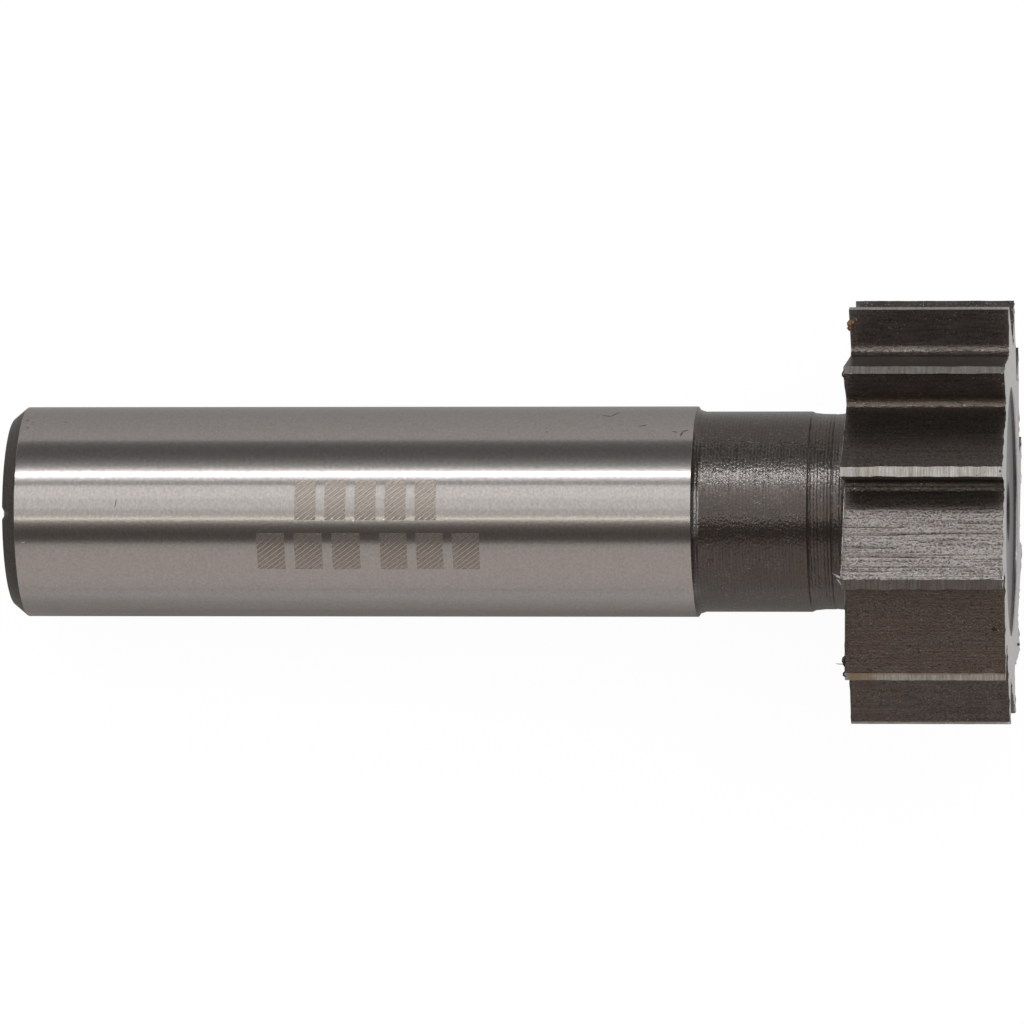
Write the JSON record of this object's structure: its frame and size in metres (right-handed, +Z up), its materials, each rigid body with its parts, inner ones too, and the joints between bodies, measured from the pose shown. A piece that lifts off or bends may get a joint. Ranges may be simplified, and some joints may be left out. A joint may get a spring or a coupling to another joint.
{
  "type": "woodruff keyseat cutter",
  "caption": "Woodruff keyseat cutter: a straight round shank, a thinner neck and a narrow disc-shaped head with straight teeth round its rim, in one piece of tool steel.",
  "frame": {"origin": "centre of the cutter's box, on the surface it lies on", "axes": "+X along the cutter from its shank end to its head, +Z up; the axis rises towards the head, because the cutter lies on its shank's end and two teeth"},
  "size_m": [0.0622, 0.025, 0.026],
  "materials": {
    "tool_steel": "ground high speed steel, bright on the shank, lands and faces, with dark heat-treat oxide left on the neck and in the gullets"
  },
  "bodies": {
    "root": {"keyseat_cutter": "tool_steel"}
  },
  "joints": []
}
